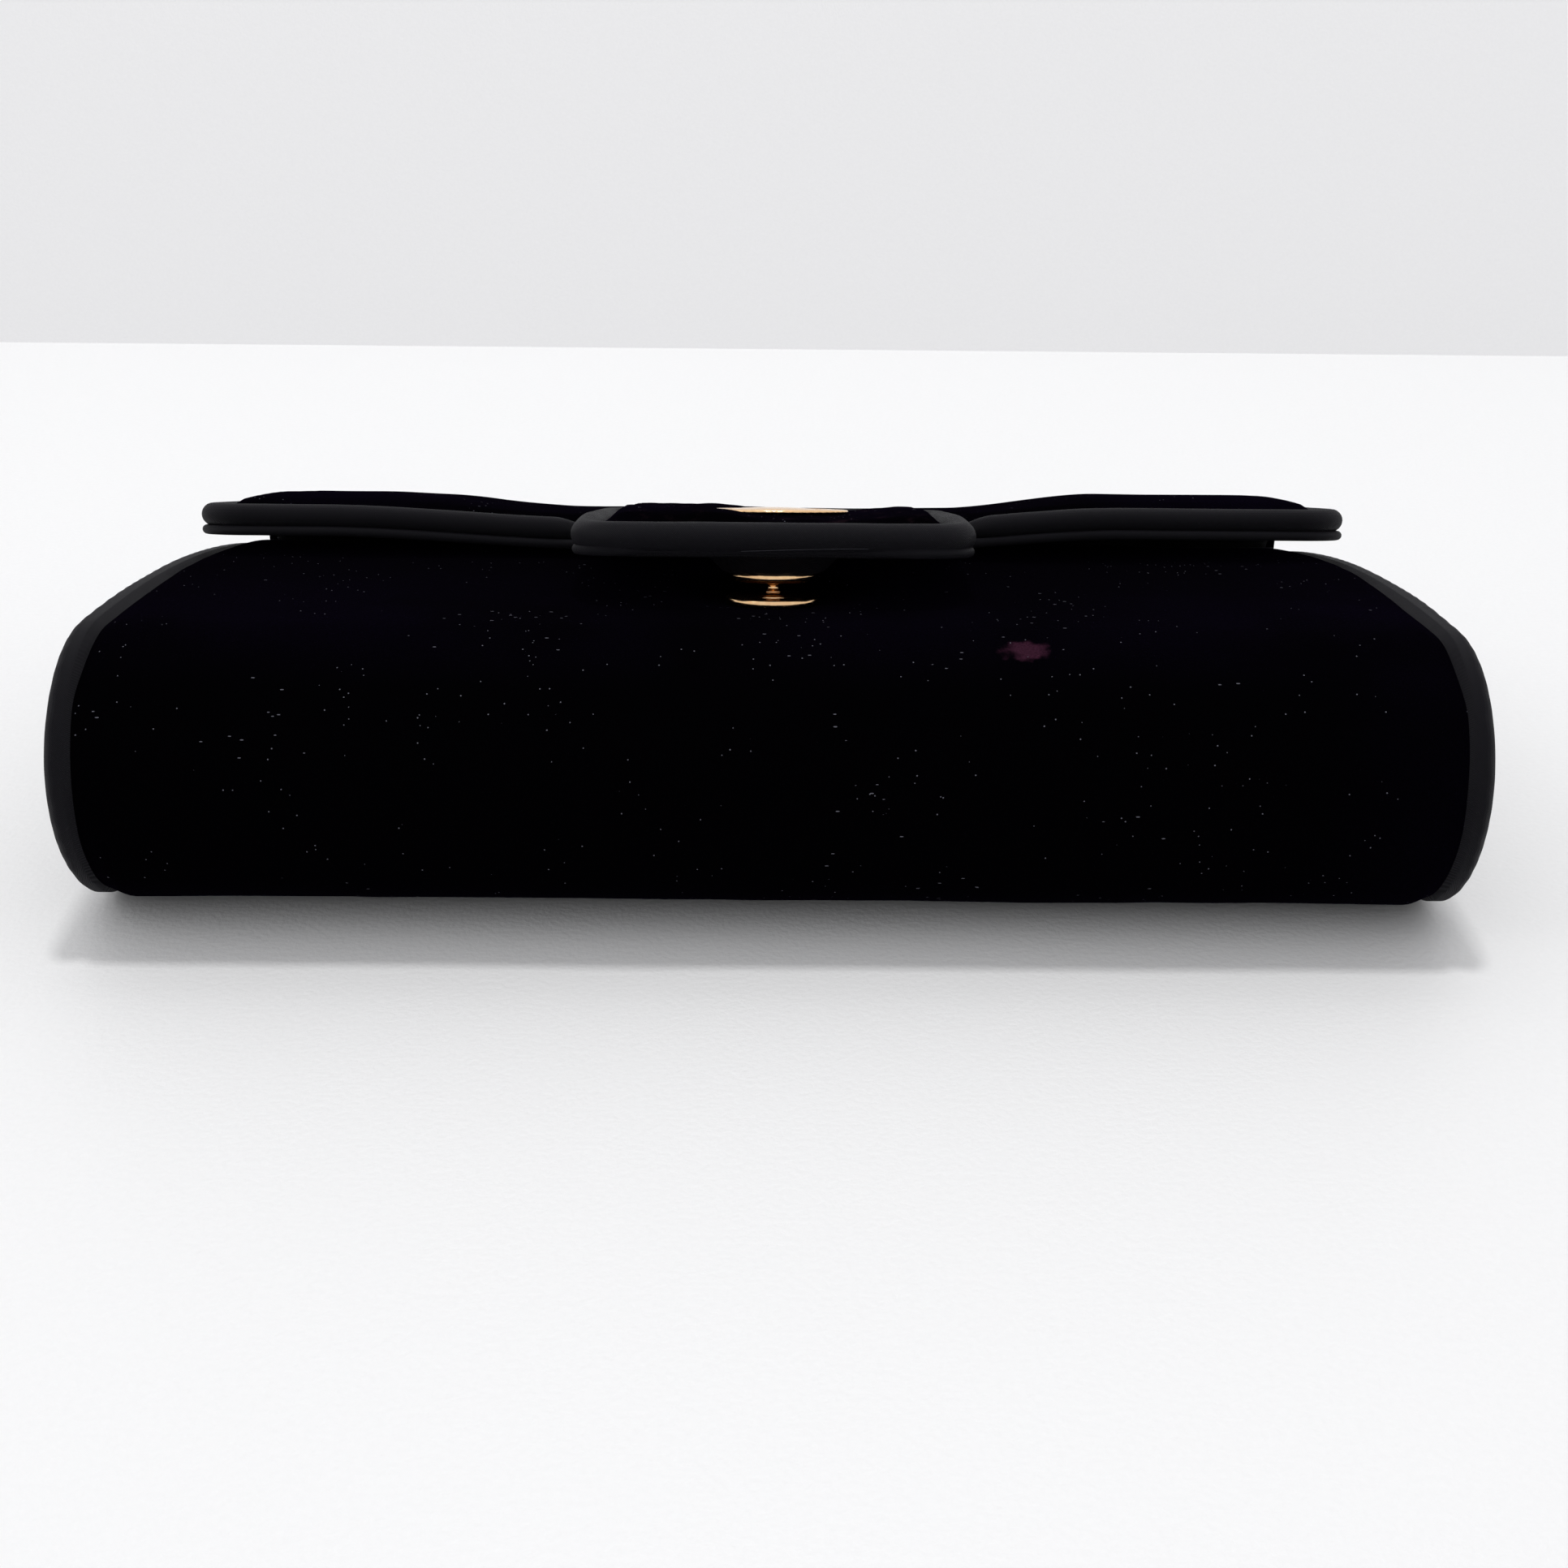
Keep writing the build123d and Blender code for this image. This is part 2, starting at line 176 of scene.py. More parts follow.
def stage_board(name, corners, colour, roughness):
    """Flat stage surface with a faint grain."""
    mesh = bpy.data.meshes.new(name)
    mesh.from_pydata(corners, [], [(0, 1, 2, 3)])
    board = bpy.data.objects.new(name, mesh)
    bpy.context.collection.objects.link(board)
    finish = Finish(name, Roughness=roughness)
    where = finish.place()
    grain = finish.noise(where, 850.0, 3.0)
    darker = tuple(c * 0.96 for c in colour[:3]) + (1,)
    finish.feed("Base Color", finish.blend(grain, colour, darker))
    finish.feed("Normal", finish.bump(grain, 0.0004, 0.35))
    mesh.materials.append(finish.material)
    return board


stage_board("table", [(-2, -TABLE_FRONT, 0), (2, -TABLE_FRONT, 0), (2, TABLE_BACK, 0), (-2, TABLE_BACK, 0)],
            TABLE_COLOUR, 0.5)
stage_board("wall", [(-3, WALL_BACK, -1), (3, WALL_BACK, -1), (3, WALL_BACK, 2.5), (-3, WALL_BACK, 2.5)],
            WALL_COLOUR, 0.9)

world = bpy.data.worlds.new("room")
world.use_nodes = True
world.node_tree.nodes["Background"].inputs["Color"].default_value = (1.0, 1.0, 1.02, 1)
world.node_tree.nodes["Background"].inputs["Strength"].default_value = 0.78
bpy.context.scene.world = world
bpy.context.scene.view_settings.view_transform = "Standard"

LAMPS = (("overhead", (0.0, 0.36, 2.5), 0.24, 20.0),
         ("window", (-1.5, -0.6, 1.6), 0.8, 2.5))
for name, place, width, power in LAMPS:
    lamp = bpy.data.lights.new(name, "AREA")
    lamp.size = width
    lamp.energy = power
    shining = bpy.data.objects.new(name, lamp)
    shining.location = place
    shining.rotation_euler = (-Vector(place)).to_track_quat("-Z", "Y").to_euler()
    bpy.context.collection.objects.link(shining)

camera = bpy.data.objects.new("camera", bpy.data.cameras.new("camera"))
camera.data.lens = LENS
camera.data.sensor_width = 36.0
camera.data.clip_start = 0.01
ahead = Vector((math.sin(EYE_TURN) * math.cos(EYE_DOWN), math.cos(EYE_TURN) * math.cos(EYE_DOWN),
                -math.sin(EYE_DOWN)))
level = Vector((math.cos(EYE_TURN), -math.sin(EYE_TURN), 0))
above = level.cross(ahead)
right = level * math.cos(EYE_ROLL) + above * math.sin(EYE_ROLL)
top = above * math.cos(EYE_ROLL) - level * math.sin(EYE_ROLL)
turned_to = Matrix((right, top, -ahead)).transposed().to_4x4()
camera.matrix_world = Matrix.Translation(EYE) @ turned_to
bpy.context.collection.objects.link(camera)
bpy.context.scene.camera = camera


# ---- Velvet of the bag ----
# One piece of black cotton velvet is stretched over wadding from the back panel, round the base
# and up the front. Its pile is almost black, with a violet sheen painted into its colour in streaks.

PILE = (0.0006, 0.0005, 0.0008, 1)
# PILE_LIT is the colour of the painted violet sheen streaks.
PILE_LIT = (0.0018, 0.0011, 0.0038, 1)
# Colour and place of a painted pink-violet sheen patch on the front shoulder.
PILE_SHEEN_PATCH = (0.042, 0.013, 0.026, 1)
LINT = (0.11, 0.11, 0.13, 1)
SHEEN_PATCH_AT = Vector((0.0450, -0.0580, 0.0520))
FRONT_R = 0.480
BLEND_ANGLE = math.radians(5.0)
BAG_PAD = 0.0052
BASE_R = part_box("velvet_wrap")[1].z / 2
BASE_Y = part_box("velvet_wrap")[0].y
BAG_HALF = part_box("velvet_wrap")[1].x
MOUTH_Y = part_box("gusset_lining_right")[1].y
SEAM_DROP = 0.0016
SEAM_WIDE = 0.005


def velvet_finish(name, sheen_patch_at=None):
    """Short cut pile with painted violet sheen streaks, fine lint and fibres, and perhaps one painted sheen
    patch.
    """
    finish = Finish(name, Roughness=0.95, Specular_IOR_Level=0.0, Sheen_Weight=0.007, Sheen_Roughness=0.3,
                    Sheen_Tint=(0.55, 0.35, 1.0, 1))
    where = finish.place()
    axes = finish.add("ShaderNodeSeparateXYZ", {}, "Z", {0: where})
    aside = Wire(finish, axes.socket.node.outputs["X"])
    # Painted sheen: the violet streaks are laid on the top band under the flap and on the right end, where
    # light grazes the pile.
    painted_sheen_where = finish.ramp(axes, 0.046, 0.054) + finish.ramp(aside, 0.090, 0.118) * 0.7
    painted_sheen_streaks = finish.ramp(finish.noise(where, 22.0, 3.0), 0.30, 0.65) * painted_sheen_where
    pile = finish.noise(where, 2600.0, 1.0)
    colour = finish.blend(painted_sheen_streaks * pile, PILE, PILE_LIT)
    # Painted sheen: a ragged oval of pink-violet light is painted on the rounded front shoulder.
    if sheen_patch_at:
        offset = finish.vector("SUBTRACT", where, sheen_patch_at)
        far = finish.vector("LENGTH", finish.vector("MULTIPLY", offset, (1, 1.6, 1.0)), None, "Value")
        ragged = far + finish.noise(where, 260.0, 3.0) * 0.008
        painted_sheen_patch = (1.0 - finish.ramp(ragged, 0.0068, 0.0092)) * (0.35 + 0.65 * pile)
        colour = finish.blend(painted_sheen_patch, colour, PILE_SHEEN_PATCH)
    chosen = finish.noise(where, 55.0, 2.0)
    specks = finish.add("ShaderNodeTexVoronoi", {}, "Distance", {"Vector": where, "Scale": 540.0})
    colour = finish.blend((specks < 0.070) * (chosen > 0.51), colour, LINT)
    long_cells = finish.vector("MULTIPLY", where, (230, 800, 800))
    fibres = finish.add("ShaderNodeTexVoronoi", {}, "Distance", {"Vector": long_cells, "Scale": 1.0})
    fibre = (fibres < 0.080) * (finish.noise(where, 35.0, 2.0) > 0.58)
    colour = finish.blend(fibre, colour, LINT)
    finish.feed("Base Color", colour)
    finish.feed("Normal", finish.bump(pile, 0.0003, 0.6))
    return finish


def ripple(x, y, z, size, seed=0.0):
    """Smooth unevenness between about -1 and 1, with hollows about one size apart."""
    return noise.noise(Vector((x / size + seed, y / size - seed, z / size + 2 * seed)))


def ease(t):
    """Smooth step from 0 to 1."""
    t = np.clip(t, 0.0, 1.0)
    return t * t * (3 - 2 * t)


def make_piece(name, verts, faces, uvs, finish):
    """Mesh piece from points, faces and a cloth map in metres, smooth shaded."""
    mesh = bpy.data.meshes.new(name)
    mesh.from_pydata([tuple(v) for v in verts], [], [tuple(f) for f in faces])
    layer = mesh.uv_layers.new(name="cloth")
    corner = np.zeros(len(mesh.loops), np.int32)
    mesh.loops.foreach_get("vertex_index", corner)
    layer.data.foreach_set("uv", np.asarray(uvs, np.float32)[corner].ravel())
    piece = bpy.data.objects.new(name, mesh)
    bpy.context.collection.objects.link(piece)
    work = bmesh.new()
    work.from_mesh(mesh)
    bmesh.ops.remove_doubles(work, verts=work.verts, dist=2e-6)
    bmesh.ops.dissolve_degenerate(work, edges=work.edges, dist=1e-6)
    bmesh.ops.recalc_face_normals(work, faces=work.faces)
    work.to_mesh(mesh)
    work.free()
    mesh.polygons.foreach_set("use_smooth", [True] * len(mesh.polygons))
    mesh.materials.append(finish.material)
    return piece


def shell(name, outer, inner, uvs, finish):
    """Closed shell between two grids of points of the same shape (rows, columns, 3)."""
    rows, columns = outer.shape[:2]
    count = rows * columns
    verts = np.concatenate([outer.reshape(-1, 3), inner.reshape(-1, 3)])
    index = np.arange(count).reshape(rows, columns)
    quads = np.stack([index[:-1, :-1], index[:-1, 1:], index[1:, 1:], index[1:, :-1]], -1).reshape(-1, 4)
    faces = [tuple(q) for q in quads] + [tuple(q[::-1] + count) for q in quads]
    rim = np.concatenate([index[0], index[1:, -1], index[-1, -2::-1], index[-2:0:-1, 0]])
    for a, b in zip(rim, np.roll(rim, -1)):
        faces.append((b, a, a + count, b + count))
    both = np.concatenate([uvs.reshape(-1, 2), uvs.reshape(-1, 2)])
    return make_piece(name, verts, faces, both, finish)


def bag_outline(inset, back_y, front_y, step):
    """Side view of the wrap, inside its outline by inset: points and outward normals, back to front."""
    centre = (BASE_Y + BASE_R, BASE_R)
    front = (centre[0] - (FRONT_R - BASE_R) * math.sin(BLEND_ANGLE),
             centre[1] - (FRONT_R - BASE_R) * math.cos(BLEND_ANGLE))
    points = []
    flat = np.arange(0, back_y - centre[0], step)[::-1]
    points += [(centre[0] + y, inset, 0.0, -1.0) for y in flat if y > 0]
    turns = np.linspace(-math.pi / 2, -math.pi * 1.5 - BLEND_ANGLE, round(4.8 * BASE_R / step))
    for turn in turns:
        normal = (math.cos(turn), math.sin(turn))
        reach = BASE_R - inset
        points.append((centre[0] + reach * normal[0], centre[1] + reach * normal[1], *normal))
    last = math.asin((front_y - front[0]) / (FRONT_R - inset))
    slopes = np.linspace(BLEND_ANGLE, last, round((last - BLEND_ANGLE) * FRONT_R / step))[1:]
    for slope in slopes:
        normal = (math.sin(slope), math.cos(slope))
        reach = FRONT_R - inset
        points.append((front[0] + reach * normal[0], front[1] + reach * normal[1], *normal))
    return np.array(points)


CUP_LEAN = math.radians(13.5)
CUP_AXIS = Vector((0, math.sin(CUP_LEAN), math.cos(CUP_LEAN)))
CUP_MIDDLE = sum(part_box("snap_cup"), Vector()) / 2


def pressed_under_snap(point):
    """Velvet pulled down round the snap's cup, on to the plane half way up its side."""
    away = Vector(point) - CUP_MIDDLE
    height = away.dot(CUP_AXIS)
    far = (away - CUP_AXIS * height).length
    share = 1 - ease((far - 0.0092) / 0.013)
    if height < -0.01 or share <= 0:
        return point
    seat = 0.0004 + 0.0013 * (1 - ease((far - 0.0045) / 0.0035))
    return Vector(point) - CUP_AXIS * (max(0.0, height + seat) * share)


outline = bag_outline(0.0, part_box("velvet_wrap")[1].y - 0.004, MOUTH_Y - 0.0018, 0.0015)
inside = bag_outline(BAG_PAD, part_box("velvet_wrap")[1].y - 0.004, MOUTH_Y - 0.0018, 0.0015)
across = np.concatenate([[-1.0], np.linspace(-0.995, -0.96, 8), np.linspace(-0.95, 0.95, 150),
                         np.linspace(0.96, 0.995, 8), [1.0]]) * BAG_HALF
count = min(len(outline), len(inside))
rows = np.linspace(0, len(outline) - 1, count).round().astype(int)
length = np.concatenate([[0], np.cumsum(np.hypot(*np.diff(outline[:, :2], axis=0).T))])
outer = np.zeros((len(outline), len(across), 3))
under = np.zeros_like(outer)
maps = np.zeros((len(outline), len(across), 2))
for i, (y, z, ny, nz) in enumerate(outline):
    for j, x in enumerate(across):
        seam = ease(1 - (BAG_HALF - abs(x)) / SEAM_WIDE)
        swell = 0.00045 * ripple(x, y, z, 0.045, 3.1) + 0.00012 * ripple(x, y, z, 0.011, 7.7)
        lift = swell * (nz > -0.9) - SEAM_DROP * seam * (1 if nz > -0.99 else 0.6)
        lift = max(lift, -z / max(-nz, 0.2)) if nz < 0 else lift - 0.0006 * ease((z - 0.044) / 0.008)
        place = Vector((x, y + ny * lift, z + nz * lift))
        if nz > 0.3 and abs(x) < 0.03:
            place = pressed_under_snap(place)
        place.z = max(place.z, 0.0)
        outer[i, j] = place
        under[i, j] = (x, y - ny * BAG_PAD, z - nz * BAG_PAD)
        maps[i, j] = (x, length[i])
velvet = velvet_finish("bag_velvet", SHEEN_PATCH_AT)
bag_velvet = shell("bag_velvet", outer, under, maps, velvet)
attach(bag_velvet, "body")
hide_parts("velvet_wrap", "wadding_wrap")


# ---- Satin gussets ----
# The two ends are black satin stretched over a stiff pad, so each bulges outside the velvet's edge
# like the end of a bolster, with small puckers where it is sewn to the velvet.

SATIN = (0.0030, 0.0030, 0.0038, 1)
SATIN_LIT = (0.0105, 0.0100, 0.0130, 1)
TWILL = 0.00034
GUSSET_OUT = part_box("gusset_satin_right")[1].x - BAG_HALF


def satin_finish(name, colour, lit):
    """Satin with a fine diagonal twill, whose float threads catch the light."""
    finish = Finish(name, Specular_IOR_Level=0.06, Sheen_Weight=0.010, Sheen_Roughness=0.4,
                    Sheen_Tint=(0.8, 0.75, 1.0, 1))
    cloth = finish.cloth()
    axes = finish.add("ShaderNodeSeparateXYZ", {}, "X", {0: cloth})
    other = Wire(finish, axes.socket.node.outputs["Y"])
    slant = (axes + other) * (2 * math.pi / TWILL)
    rib = finish.add("ShaderNodeMath", {"operation": "SINE"}, "Value", {0: slant}) * 0.5 + 0.5
    worn = finish.noise(cloth, 90.0, 3.0)
    finish.feed("Base Color", finish.blend(rib * 0.7 + worn * 0.3, colour, lit))
    finish.feed("Roughness", 0.46 + worn * 0.18)
    finish.feed("Normal", finish.bump(rib, 0.00010, 0.9))
    return finish


satin = satin_finish("satin", SATIN, SATIN_LIT)


def ring_outline(inset, count):
    """Gusset's outline inside the bag's by inset, as a closed loop of evenly spaced points."""
    mouth = MOUTH_Y - inset
    side = bag_outline(inset, mouth, mouth, 0.0005)[:, :2]
    start = np.array([(mouth, inset)])
    loop = np.concatenate([start, side, start])
    along = np.concatenate([[0], np.cumsum(np.hypot(*np.diff(loop, axis=0).T))])
    even = np.linspace(0, along[-1], count, endpoint=False)
    return np.stack([np.interp(even, along, loop[:, 0]), np.interp(even, along, loop[:, 1])], 1)


def gusset(side):
    """Bulging end: rings that go round the padded rim and in over the flat of the end."""
    count = 560
    rings = []
    for turn in np.linspace(0, math.pi / 2, 11):
        rings.append((GUSSET_OUT * (1 - math.cos(turn)), GUSSET_OUT * math.sin(turn)))
    for inset in (0.0055, 0.0070, 0.0090, 0.0110, 0.0122):
        rings.append((inset, GUSSET_OUT))
    verts, uvs = [], []
    rings = [(0.0021, -0.0022), (0.0014, -0.0009)] + [(max(i, 0.0006), o) for i, o in rings]
    for k, (inset, out) in enumerate(rings):
        loop = ring_outline(inset, count)
        for m, (y, z) in enumerate(loop):
            angle = m / count * math.tau
            near = math.exp(-max(out, 0.0) / 0.0028)
            pucker = 0.00022 * near * math.sin(angle * 70 + 2.2 * math.sin(angle * 9))
            pucker *= 1 - ease(inset / 0.004)
            swell = 0.0003 * ripple(side * 0.1, y, z, 0.022, 5.0)
            x = BAG_HALF + out + (pucker + swell) * min(1.0, max(out, 0.0) / 0.002)
            verts.append((side * min(x, BAG_HALF + GUSSET_OUT + 0.0006), y, max(z, 0.0)))
            uvs.append((y, z + out))
    faces = []
    for k in range(len(rings) - 1):
        for m in range(count):
            n = (m + 1) % count
            faces.append((k * count + m, k * count + n, (k + 1) * count + n, (k + 1) * count + m))
    last = (len(rings) - 1) * count
    faces.append(tuple(last + m for m in range(count)))
    faces.append(tuple(reversed(range(count))))
    return verts, faces, uvs


for side, hand in ((-1, "left"), (1, "right")):
    verts, faces, uvs = gusset(side)
    piece = make_piece("gusset_" + hand, verts, faces, uvs, satin)
    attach(piece, "body")
    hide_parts("gusset_satin_" + hand, "gusset_pad_" + hand)


# ---- Lining of the bag ----
# Thin black satin lines the back, base, front and both ends. A flat slip pocket with a folded hem
# is sewn to the back, and a folded satin binding covers the raw edge of the front at the mouth.

# LINING is darker than the outer SATIN of the same black cloth: painted shade for the undersides and inside.
LINING = (0.0012, 0.0012, 0.0016, 1)
LINING_LIT = (0.0045, 0.0042, 0.0058, 1)
LINING_T = 0.0006
WALL_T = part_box("slip_pocket")[0].z
lining = satin_finish("lining_satin", LINING, LINING_LIT)
top_y = MOUTH_Y
face_line = bag_outline(WALL_T, top_y, top_y - 0.0004, 0.0025)
across = np.linspace(-BAG_HALF + 0.0021, BAG_HALF - 0.0021, 110)
outer = np.zeros((len(face_line), len(across), 3))
under = np.zeros_like(outer)
maps = np.zeros((len(face_line), len(across), 2))
length = np.concatenate([[0], np.cumsum(np.hypot(*np.diff(face_line[:, :2], axis=0).T))])
for i, (y, z, ny, nz) in enumerate(face_line):
    for j, x in enumerate(across):
        slack = 0.00025 + 0.00025 * ripple(x, y, z, 0.02, 1.3)
        outer[i, j] = (x, y + ny * (LINING_T - 0.0001), z + nz * (LINING_T - 0.0001))
        under[i, j] = (x, y - ny * slack, z - nz * slack)
        maps[i, j] = (x, length[i])
bag_lining = shell("bag_lining", outer, under, maps, lining)
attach(bag_lining, "body")
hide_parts("lining_wrap")

for side, hand in ((-1, "left"), (1, "right")):
    low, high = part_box("gusset_lining_" + hand)
    inner_line = bag_outline(WALL_T, top_y, top_y, 0.002)[:, :2]
    bottom_y = inner_line[:, 0].min()
    rows = np.linspace(bottom_y + 0.0003, top_y - 0.0004, 70)
    nearest = int(inner_line[:, 0].argmin())
    back_part, front_part = inner_line[:nearest + 1][::-1], inner_line[nearest:]
    face = np.zeros((len(rows), 16, 3))
    rear = np.zeros_like(face)
    maps = np.zeros((len(rows), 16, 2))
    for i, y in enumerate(rows):
        z0 = np.interp(y, back_part[:, 0], back_part[:, 1])
        z1 = np.interp(y, front_part[:, 0], front_part[:, 1])
        for j, t in enumerate(np.linspace(0, 1, 16)):
            z = z0 + (z1 - z0) * t
            swell = 0.0004 + 0.0004 * ripple(0.0, y, z, 0.018, 2.0 + side)
            face[i, j] = (side * (abs(low.x if side > 0 else high.x) - swell), y, z)
            rear[i, j] = (side * abs(high.x if side > 0 else low.x), y, z)
            maps[i, j] = (y, z)
    piece = shell("gusset_lining_cloth_" + hand, face, rear, maps, lining)
    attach(piece, "body")
    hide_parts("gusset_lining_" + hand)

low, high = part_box("slip_pocket")
across = np.linspace(low.x, high.x, 60)
rows = np.linspace(low.y, high.y, 60)
face = np.zeros((60, 60, 3))
rear = np.zeros_like(face)
maps = np.zeros((60, 60, 2))
for i, y in enumerate(rows):
    for j, x in enumerate(across):
        edge = min(high.x - abs(x), y - low.y)
        hem = ease((y - (high.y - 0.008)) / 0.0006)
        groove = math.exp(-((y - high.y + 0.0076) / 0.0005) ** 2)
        gape = 0.0012 * ease((y - low.y) / 0.075) * ease(edge / 0.02) + 0.0002 * ripple(x, y, 0, 0.013, 4.0)
        height = low.z + 0.00055 + gape + 0.0004 * hem - 0.0002 * groove
        face[i, j] = (x, y, height)
        rear[i, j] = (x, y, max(height - 0.0006 - 0.0004 * hem, low.z + 0.00005))
        maps[i, j] = (x, y)
pocket = shell("slip_pocket_cloth", face, rear, maps, lining)
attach(pocket, "body")
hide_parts("slip_pocket")


# ---- Piping and bindings ----
# Satin rolled round a cord. The same fat roll edges the flap on each side of the tab, tapers and
# tucks in beside it, and a fatter one goes round the tab. A thin bead edges their lining.

FLAP_SLOPE = math.radians(16.5)
joint_at = {j["name"]: Vector(j["pos_m"]) for j in frame["record"]["behaviour"]["joints"]}
HINGE = joint_at["flap_fold"]
DOWN_FLAP = Vector((0, -math.cos(FLAP_SLOPE), math.sin(FLAP_SLOPE)))
OUT_OF_FLAP = Vector((0, math.sin(FLAP_SLOPE), math.cos(FLAP_SLOPE)))


def on_flap(x, s, n):
    """Point at x across, s down the flap from its fold and n out of its velvet."""
    return HINGE + Vector((x, 0, 0)) + DOWN_FLAP * s + OUT_OF_FLAP * n


def bow(x, s):
    """How far the flap has bowed off its plane: its ends curl up and its middle sinks a little."""
    lift = -0.0008 + 0.0024 * ease((-x - 0.035) / 0.060) + 0.0030 * ease((x - 0.022) / 0.052)
    return lift * ease(s / 0.022) * (1 - ease((s - FLAP_END) / 0.012))


def bowed(x, s, n):
    """Point of the flap as worn, bowed along its width."""
    return on_flap(x, s, n + bow(x, s))


def on_tab(x, s, n):
    """Point of the tab's top, which droops over its near end."""
    return on_flap(x, s, n - 0.0012 * ease((s - TAB_END + 0.026) / 0.022))


def flap_middle(node):
    """A node's middle in the flap's own measure: down from the fold, and out of the velvet."""
    away = sum(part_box(node), Vector()) / 2 - HINGE
    return away.dot(DOWN_FLAP), away.dot(OUT_OF_FLAP)


def tube(name, line, radius, finish, sides=20, closed=False):
    """Round bar along a line of points, with a radius at each and flat caps at its ends unless closed."""
    line = [Vector(p) for p in line]
    count = len(line)
    verts, uvs, faces = [], [], []
    along = 0.0
    across = None
    for k, point in enumerate(line):
        before = line[k - 1] if k or closed else line[0]
        after = line[(k + 1) % count] if k < count - 1 or closed else line[-1]
        heading = (after - before).normalized()
        if across is None:
            across = heading.orthogonal().normalized()
            if abs(across.dot(OUT_OF_FLAP)) < 0.99:
                across = (OUT_OF_FLAP - heading * OUT_OF_FLAP.dot(heading)).normalized()
        across = (across - heading * across.dot(heading)).normalized()
        beside = heading.cross(across)
        if k:
            along += (point - line[k - 1]).length
        for m in range(sides):
            turn = math.tau * m / sides
            verts.append(point + (across * math.cos(turn) + beside * math.sin(turn)) * radius[k])
            uvs.append((along, (m if m <= sides / 2 else sides - m) / sides * math.tau * max(radius)))
    spans = count if closed else count - 1
    for k in range(spans):
        nxt = (k + 1) % count
        for m in range(sides):
            n = (m + 1) % sides
            faces.append((k * sides + m, k * sides + n, nxt * sides + n, nxt * sides + m))
    if not closed:
        faces.append(tuple(reversed(range(sides))))
        faces.append(tuple((count - 1) * sides + m for m in range(sides)))
    return make_piece(name, verts, faces, uvs, finish)


def rounded_path(corners, radii, step):
    """Points every step along straight runs joined by arcs, in the flap's plan."""
    points = []
    corners = [Vector(c) for c in corners]
    start = corners[0]
    for k in range(1, len(corners) - 1):
        here = corners[k]
        into = (corners[k - 1] - here).normalized()
        out = (corners[k + 1] - here).normalized()
        half = into.angle(out) / 2
        reach = radii[k - 1] / math.tan(half)
        first, last = here + into * reach, here + out * reach
        points += [start.lerp(first, t) for t in np.arange(0, 1, step / max((first - start).length, step))]
        centre = here + (into + out).normalized() * (radii[k - 1] / math.sin(half))
        a, b = first - centre, last - centre
        sweep = a.angle(b)
        for t in np.arange(0, 1, step / max(sweep * radii[k - 1], step)):
            part_way = a * math.sin((1 - t) * sweep) + b * math.sin(t * sweep)
            points.append(centre + part_way / math.sin(sweep))
        start = last
    left = max(2, round((corners[-1] - start).length / step))
    return points + [start.lerp(corners[-1], t) for t in np.linspace(0, 1, left)]


TAB_ROLL_R = 0.0027
TAB_CORNER = 0.012
TAB_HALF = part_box("tab_roll")[1].x
TAB_MIDDLE, TAB_ROLL_N = flap_middle("tab_roll")
tab_low, tab_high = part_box("tab_roll")
TAB_LONG = (tab_high.y - tab_low.y - 2 * TAB_ROLL_R) / math.cos(FLAP_SLOPE) / 2 + TAB_ROLL_R
TAB_END = TAB_MIDDLE + TAB_LONG
ROLL_R = 0.0024
FLAP_CORNER = 0.012
FLAP_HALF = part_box("flap_roll_right")[1].x
velvet_low, velvet_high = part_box("flap_velvet")
PANEL_LONG = (velvet_high.y - velvet_low.y) / math.cos(FLAP_SLOPE) - 0.0012 * math.tan(FLAP_SLOPE)
FLAP_END = PANEL_LONG + 2 * ROLL_R
ROLL_N = -0.00285
ROLL_TAPER = 0.009


def roll_radius(base, points, seed):
    """Radius along a roll, with the slight lumps of hand-turned satin."""
    radii = []
    for p in points:
        lumps = 0.022 * ripple(*p, 0.009, seed) + 0.02 * ripple(*p, 0.03, seed + 4)
        radii.append(base * (1 + lumps))
    return radii


for side, hand in ((-1, "left"), (1, "right")):
    edge = FLAP_END - ROLL_R
    out = side * (FLAP_HALF - ROLL_R)
    plan = rounded_path([(out, 0.002), (out, edge), (side * (TAB_HALF - 0.003), edge)],
                        [FLAP_CORNER - ROLL_R], 0.0007)
    line = []
    radius = []
    for p in plan:
        near_tab = ease(1 - (abs(p.x) - TAB_HALF + 0.001) / ROLL_TAPER)
        near_fold = ease(1 - (p.y - 0.002) / 0.006)
        line.append(bowed(p.x, p.y - 0.0012 * near_tab, ROLL_N - 0.0008 * near_tab - 0.001 * near_fold))
        radius.append(1 - 0.5 * near_tab - 0.45 * near_fold)
    lumps = roll_radius(ROLL_R, line, 11.0 + side)
    piece = tube("flap_roll_" + hand + "_satin", line, [a * b for a, b in zip(radius, lumps)], satin, 24)
    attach(piece, "flap")
    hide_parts("flap_roll_" + hand, "flap_cord_" + hand)

half, long, bend = TAB_HALF - TAB_ROLL_R, TAB_LONG - TAB_ROLL_R, TAB_CORNER - TAB_ROLL_R
plan = rounded_path([(half, TAB_MIDDLE), (half, TAB_MIDDLE + long), (-half, TAB_MIDDLE + long),
                     (-half, TAB_MIDDLE - long), (half, TAB_MIDDLE - long), (half, TAB_MIDDLE - 0.0007)],
                    [bend] * 4, 0.0007)
line = [on_tab(p.x, p.y, TAB_ROLL_N) for p in plan]
tab_roll = tube("tab_roll_satin", line, roll_radius(TAB_ROLL_R + 0.0002, line, 21.0), satin, 28, closed=True)
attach(tab_roll, "flap")
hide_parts("tab_roll", "tab_cord")

